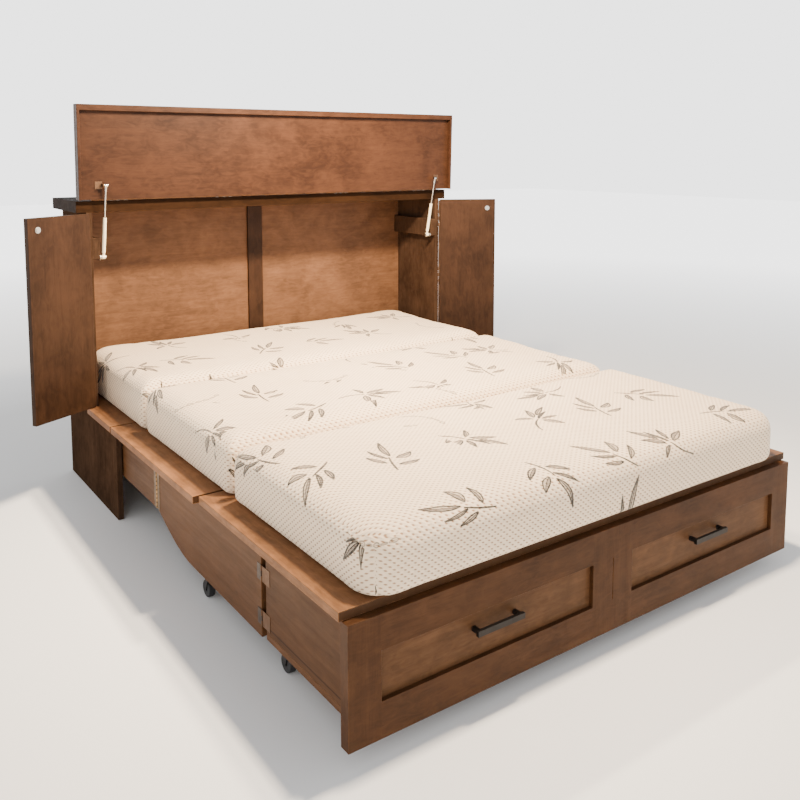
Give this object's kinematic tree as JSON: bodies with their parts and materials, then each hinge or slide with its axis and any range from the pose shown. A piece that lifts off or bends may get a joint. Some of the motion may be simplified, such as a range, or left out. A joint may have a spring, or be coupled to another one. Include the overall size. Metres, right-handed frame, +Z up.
{
  "type": "murphy wall bed",
  "caption": "Cabinet bed shown open: folding platform, drawer foot on casters, lift-up lid, side wings and a three-part mattress.",
  "frame": {"origin": "middle of the open bed on the floor, halfway between the drawer pulls and the back of the cabinet", "axes": "+X to the right for someone facing the foot drawer, +Y from the foot drawer to the back of the cabinet, +Z up"},
  "size_m": [2.1226, 2.152, 1.4713],
  "materials": {
    "stained_wood": "satin stain",
    "platform_wood": "satin stain",
    "back_wood": "satin stain",
    "ticking": "knit",
    "black_metal": "matt",
    "steel": "satin",
    "brass": "satin",
    "white_paint": "gloss",
    "rod_chrome": "polished",
    "wheel_rubber": "matt"
  },
  "bodies": {
    "root": {"side_left": "stained_wood", "side_right": "stained_wood", "back_panels": "back_wood", "back_stile": "stained_wood", "cabinet_rails": "stained_wood", "top_board": "stained_wood", "strut_cleats": "stained_wood", "platform_head": "platform_wood", "strut_studs": "steel", "lid_hinge_fixed": "steel", "wing_hinge_fixed": "steel", "head_hinge_fixed": "steel", "cabinet_support_hinges": "brass"},
    "lid": {"lid_panel": "stained_wood", "lid_lips": "stained_wood", "lid_hinge_moving": "steel", "lid_strut_brackets": "steel"},
    "strut_tube_left_body": {"strut_tube_left": "white_paint"},
    "strut_tube_right_body": {"strut_tube_right": "white_paint"},
    "strut_rod_left_body": {"strut_rod_left": "rod_chrome"},
    "strut_rod_right_body": {"strut_rod_right": "rod_chrome"},
    "wing_left_body": {"wing_left": "stained_wood", "wing_hinge_left": "steel", "wing_catch_left": "steel"},
    "wing_right_body": {"wing_right": "stained_wood", "wing_hinge_right": "steel", "wing_catch_right": "steel"},
    "platform_mid_body": {"platform_mid": "platform_wood", "platform_mid_hinges": "steel"},
    "platform_front_body": {"platform_front": "platform_wood", "platform_front_hinges": "steel"},
    "rear_support_left_body": {"rear_support_left": "stained_wood", "rear_support_hinges_left": "brass"},
    "rear_support_right_body": {"rear_support_right": "stained_wood", "rear_support_hinges_right": "brass"},
    "front_support_left_body": {"front_support_left": "stained_wood", "front_support_hinges_left": "brass", "support_caster_plate_left": "steel"},
    "front_support_right_body": {"front_support_right": "stained_wood", "front_support_hinges_right": "brass", "support_caster_plate_right": "steel"},
    "drawer": {"drawer_support_hinges": "brass", "drawer_front_frame": "stained_wood", "drawer_panels": "stained_wood", "drawer_sides": "stained_wood", "drawer_back": "stained_wood", "drawer_bottom": "stained_wood", "drawer_pulls": "black_metal", "drawer_caster_plates": "steel"},
    "support_fork_left_body": {"support_fork_left": "black_metal"},
    "support_fork_right_body": {"support_fork_right": "black_metal"},
    "drawer_fork_left_body": {"drawer_fork_left": "black_metal"},
    "drawer_fork_right_body": {"drawer_fork_right": "black_metal"},
    "support_wheel_left_body": {"support_wheel_left": "wheel_rubber"},
    "support_wheel_right_body": {"support_wheel_right": "wheel_rubber"},
    "drawer_wheel_left_body": {"drawer_wheel_left": "wheel_rubber"},
    "drawer_wheel_right_body": {"drawer_wheel_right": "wheel_rubber"},
    "mattress_head_body": {"mattress_head": "ticking"},
    "mattress_mid_body": {"mattress_mid": "ticking"},
    "mattress_foot_body": {"mattress_foot": "ticking"}
  },
  "joints": [
    {"name": "bed_fold", "type": "hinge", "parent": "root", "child": "platform_mid_body", "pos_m": [0, 0.462, 0.345], "axis": [-1, 0, 0], "range_deg": [0, 90]},
    {"name": "platform_front_fold", "type": "hinge", "parent": "platform_mid_body", "child": "platform_front_body", "pos_m": [0, -0.288, 0.3265], "axis": [-1, 0, 0], "range_deg": [-180, 0]},
    {"name": "rear_support_left_swing", "type": "hinge", "parent": "root", "child": "rear_support_left_body", "pos_m": [-0.7965, 0.887, 0.24], "axis": [0, 0, 1], "range_deg": [0, 90]},
    {"name": "front_support_left_swing", "type": "hinge", "parent": "rear_support_left_body", "child": "front_support_left_body", "pos_m": [-0.7965, 0.137, 0.24], "axis": [0, 0, 1], "range_deg": [-180, 0]},
    {"name": "rear_support_right_swing", "type": "hinge", "parent": "root", "child": "rear_support_right_body", "pos_m": [0.7965, 0.887, 0.24], "axis": [0, 0, -1], "range_deg": [0, 90]},
    {"name": "front_support_right_swing", "type": "hinge", "parent": "rear_support_right_body", "child": "front_support_right_body", "pos_m": [0.7965, 0.137, 0.24], "axis": [0, 0, -1], "range_deg": [-180, 0]},
    {"name": "drawer_roll_in", "type": "hinge", "parent": "front_support_left_body", "child": "drawer", "pos_m": [-0.7965, -0.613, 0.2], "axis": [0, 0, 1], "range_deg": [0, 90]},
    {"name": "mattress_head_fold", "type": "hinge", "parent": "root", "child": "mattress_head_body", "pos_m": [0, 0.9545, 0.4275], "axis": [-1, 0, 0], "range_deg": [0, 90], "deforming": ["mattress_head"]},
    {"name": "mattress_mid_fold", "type": "hinge", "parent": "mattress_head_body", "child": "mattress_mid_body", "pos_m": [0, 0.335, 0.35], "axis": [-1, 0, 0], "range_deg": [-180, 0], "deforming": ["mattress_mid"]},
    {"name": "mattress_foot_fold", "type": "hinge", "parent": "mattress_mid_body", "child": "mattress_foot_body", "pos_m": [0, -0.363, 0.505], "axis": [-1, 0, 0], "range_deg": [0, 180], "deforming": ["mattress_foot"]},
    {"name": "lid_hinge", "type": "hinge", "parent": "root", "child": "lid", "pos_m": [0, 0.742, 1.125], "axis": [1, 0, 0], "range_deg": [0, 88.5], "stiffness_Nm_per_rad": 4, "springref_deg": -34.38},
    {"name": "strut_left_swing", "type": "hinge", "parent": "root", "child": "strut_tube_left_body", "pos_m": [-0.758, 0.754, 0.909], "axis": [1, 0, 0], "range_deg": [0, 8.81]},
    {"name": "strut_left_slide", "type": "slide", "parent": "strut_tube_left_body", "child": "strut_rod_left_body", "axis": [0, -0.2158, 0.9764], "range_m": [-0.0931, 0]},
    {"name": "wing_left_swing", "type": "hinge", "parent": "root", "child": "wing_left_body", "pos_m": [-0.823, 0.7415, 0.713], "axis": [0, 0, 1], "range_deg": [-50, 63.6]},
    {"name": "strut_right_swing", "type": "hinge", "parent": "root", "child": "strut_tube_right_body", "pos_m": [0.758, 0.754, 0.909], "axis": [1, 0, 0], "range_deg": [0, 8.81]},
    {"name": "strut_right_slide", "type": "slide", "parent": "strut_tube_right_body", "child": "strut_rod_right_body", "axis": [0, -0.2158, 0.9764], "range_m": [-0.0931, 0]},
    {"name": "wing_right_swing", "type": "hinge", "parent": "root", "child": "wing_right_body", "pos_m": [0.823, 0.7415, 0.713], "axis": [0, 0, -1], "range_deg": [-50, 63.6]},
    {"name": "support_caster_left_swivel", "type": "hinge", "parent": "front_support_left_body", "child": "support_fork_left_body", "pos_m": [-0.765, -0.218, 0.06], "axis": [0, 0, 1], "continuous": true},
    {"name": "support_wheel_left_spin", "type": "hinge", "parent": "support_fork_left_body", "child": "support_wheel_left_body", "pos_m": [-0.765, -0.2, 0.025], "axis": [1, 0, 0], "continuous": true},
    {"name": "support_caster_right_swivel", "type": "hinge", "parent": "front_support_right_body", "child": "support_fork_right_body", "pos_m": [0.765, -0.218, 0.06], "axis": [0, 0, 1], "continuous": true},
    {"name": "support_wheel_right_spin", "type": "hinge", "parent": "support_fork_right_body", "child": "support_wheel_right_body", "pos_m": [0.765, -0.2, 0.025], "axis": [1, 0, 0], "continuous": true},
    {"name": "drawer_caster_left_swivel", "type": "hinge", "parent": "drawer", "child": "drawer_fork_left_body", "pos_m": [-0.75, -0.684, 0.06], "axis": [0, 0, 1], "continuous": true},
    {"name": "drawer_wheel_left_spin", "type": "hinge", "parent": "drawer_fork_left_body", "child": "drawer_wheel_left_body", "pos_m": [-0.75, -0.666, 0.025], "axis": [1, 0, 0], "continuous": true},
    {"name": "drawer_caster_right_swivel", "type": "hinge", "parent": "drawer", "child": "drawer_fork_right_body", "pos_m": [0.75, -0.684, 0.06], "axis": [0, 0, 1], "continuous": true},
    {"name": "drawer_wheel_right_spin", "type": "hinge", "parent": "drawer_fork_right_body", "child": "drawer_wheel_right_body", "pos_m": [0.75, -0.666, 0.025], "axis": [1, 0, 0], "continuous": true}
  ],
  "couplings": [
    {"joint": "platform_front_fold", "follows": "bed_fold", "ratio": -2},
    {"joint": "rear_support_left_swing", "follows": "bed_fold", "ratio": 1},
    {"joint": "front_support_left_swing", "follows": "bed_fold", "ratio": -2},
    {"joint": "rear_support_right_swing", "follows": "bed_fold", "ratio": 1},
    {"joint": "front_support_right_swing", "follows": "bed_fold", "ratio": -2},
    {"joint": "drawer_roll_in", "follows": "bed_fold", "ratio": 1},
    {"joint": "mattress_head_fold", "follows": "bed_fold", "ratio": 1},
    {"joint": "mattress_mid_fold", "follows": "bed_fold", "ratio": -2},
    {"joint": "mattress_foot_fold", "follows": "bed_fold", "ratio": 2},
    {"joint": "strut_left_swing", "follows": "lid_hinge", "ratio": 0.098941},
    {"joint": "strut_left_slide", "follows": "lid_hinge", "m_per_rad": -0.060144},
    {"joint": "strut_right_swing", "follows": "lid_hinge", "ratio": 0.098941},
    {"joint": "strut_right_slide", "follows": "lid_hinge", "m_per_rad": -0.060144}
  ]
}
